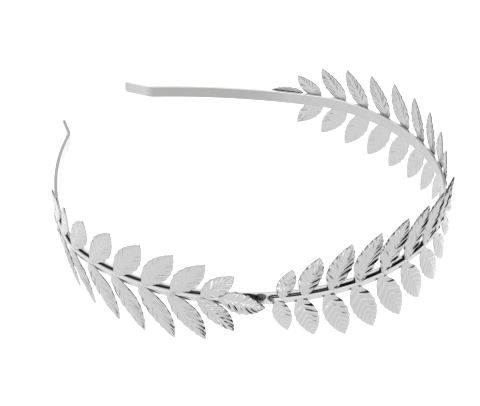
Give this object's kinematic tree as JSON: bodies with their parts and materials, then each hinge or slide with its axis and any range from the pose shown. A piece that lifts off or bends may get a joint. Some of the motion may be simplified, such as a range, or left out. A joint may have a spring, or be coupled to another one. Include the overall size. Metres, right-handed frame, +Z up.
{
  "type": "laurel wreath crown",
  "caption": "Open metal head crown: a thin springy strip bent to the head, carrying stamped laurel sprays end to end on its outer face, with bare legs and out-turned tips at the back.",
  "frame": {"origin": "centre of the head opening, which is the centre of the brow arc seen from above, level with the lowest leaf tips that the crown rests on", "axes": "+Z up out of the head opening, -Y towards the brow, +Y towards the open back, +X towards the right-hand leg seen from above with the brow below"},
  "size_m": [0.1328, 0.1463, 0.0352],
  "materials": {
    "strip_metal": "satin spring steel strip, plated silver colour, faint lengthwise brushing",
    "leaf_metal": "stamped brass sheet, plated bright silver colour, polished with raised veins"
  },
  "bodies": {
    "root": {"band": "strip_metal", "spray_left": "leaf_metal", "spray_front": "leaf_metal", "spray_right": "leaf_metal"}
  },
  "joints": []
}
